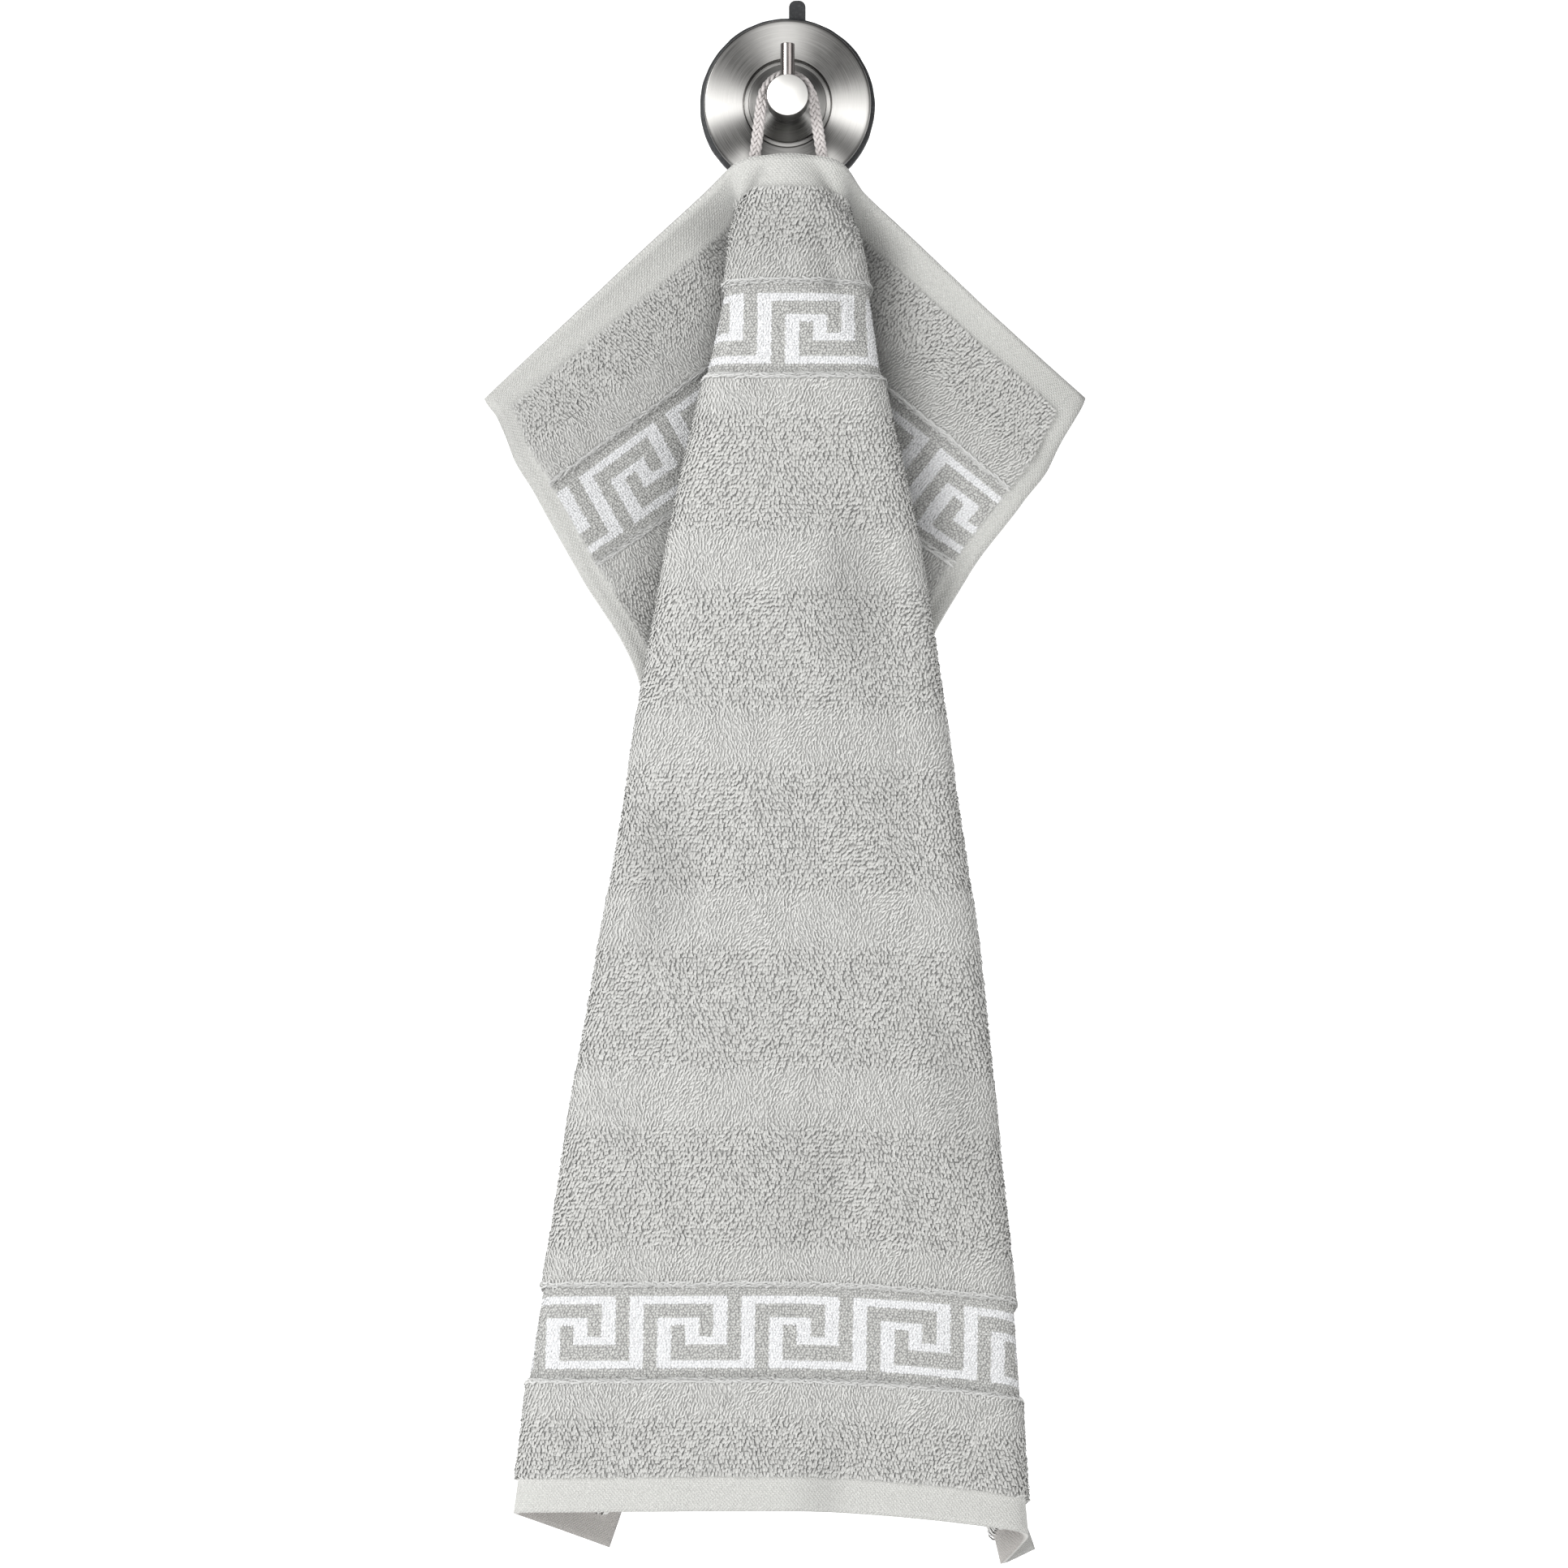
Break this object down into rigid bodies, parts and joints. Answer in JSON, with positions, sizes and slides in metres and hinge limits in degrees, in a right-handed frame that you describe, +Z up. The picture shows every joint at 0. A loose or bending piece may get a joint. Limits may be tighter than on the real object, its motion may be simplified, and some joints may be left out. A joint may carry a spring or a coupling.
{
  "type": "guest towel on a hook",
  "caption": "Terry guest towel with Greek key borders, draped from its braided loop over the peg of a steel suction hook on a wall.",
  "frame": {"origin": "middle of the suction cup's back, on the wall plane", "axes": "+Z up along the hanging towel, +Y into the wall, the viewer stands at -Y"},
  "size_m": [0.2239, 0.0565, 0.5906],
  "materials": {
    "terry_grey": "light grey terry loops, flat woven hems",
    "loop_grey": "warm grey flat braid",
    "brushed_steel": "brushed round the hook's axis",
    "black_rubber": "matt black moulded rubber"
  },
  "bodies": {
    "root": {"towel": "terry_grey", "hanger_loop": "loop_grey", "suction_cup": "black_rubber", "hook_plate": "brushed_steel", "hook_peg": "brushed_steel", "stop_pin": "brushed_steel"}
  },
  "joints": []
}
